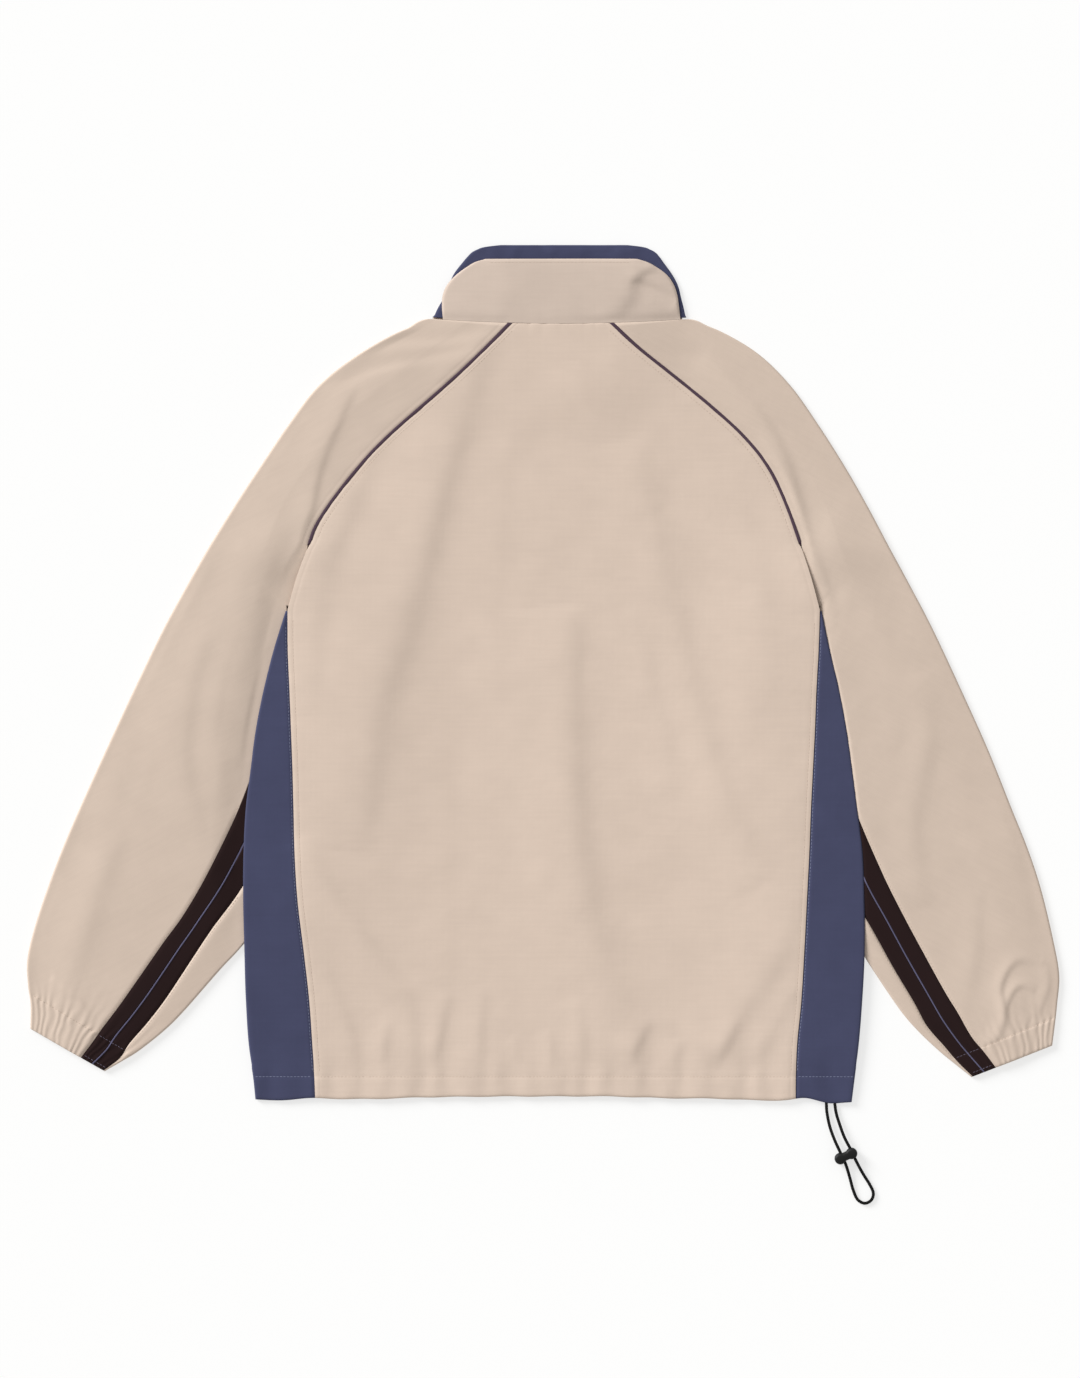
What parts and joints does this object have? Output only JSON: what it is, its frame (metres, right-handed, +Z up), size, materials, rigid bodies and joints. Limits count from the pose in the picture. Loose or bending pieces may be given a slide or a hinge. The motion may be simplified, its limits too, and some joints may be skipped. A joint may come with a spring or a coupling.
{
  "type": "track jacket",
  "caption": "Zipped track jacket laid flat with its back up: raglan sleeves with a dark side stripe, piping, contrast side panels and collar lining, gathered cuffs and a drawcord hem",
  "frame": {"origin": "middle of the bounding box of the laid jacket without its free cord, on the surface it lies on (z = 0)", "axes": "+Z up from the surface, through the laid layers; +Y towards the collar; +X towards the sleeve that is on the right when seen from above with the collar up (the wearer's right sleeve, as the back is up)"},
  "size_m": [0.949, 0.8812, 0.0093],
  "materials": {
    "beige": "matte woven cloth, sand beige",
    "blue": "matte woven cloth, slate blue",
    "stripe": "matte woven cloth, near black brown",
    "stripe_piping": "thin flat piping, blue violet",
    "raglan_piping": "thin round piping, dark plum",
    "zip_tape": "woven tape with a moulded chain, black",
    "zip_metal": "satin metal",
    "cord": "round woven cord, black",
    "lock_plastic": "satin moulded plastic, black"
  },
  "bodies": {
    "jacket": {"back_panel": "beige", "front_panel_left": "beige", "front_panel_right": "beige", "sleeve_left": "beige", "sleeve_right": "beige", "collar_back": "beige", "collar_front_left": "beige", "collar_front_right": "beige", "side_panel_left": "blue", "side_panel_right": "blue", "collar_facing": "blue", "stripe_outer_left": "stripe", "stripe_outer_right": "stripe", "stripe_inner_left": "stripe", "stripe_inner_right": "stripe", "stripe_piping_left": "stripe_piping", "stripe_piping_right": "stripe_piping", "raglan_piping_left": "raglan_piping", "raglan_piping_right": "raglan_piping", "zip": "zip_tape", "zip_slider": "zip_metal", "drawcord": "cord", "cord_lock": "lock_plastic"},
    "zip_pull": {"zip_pull": "zip_metal"}
  },
  "joints": [
    {"name": "zip_pull_hinge", "type": "hinge", "parent": "jacket", "child": "zip_pull", "pos_m": [0.01631, 0.32175, 0.00135], "axis": [1, 0, 0], "range_deg": [0, 150]}
  ]
}
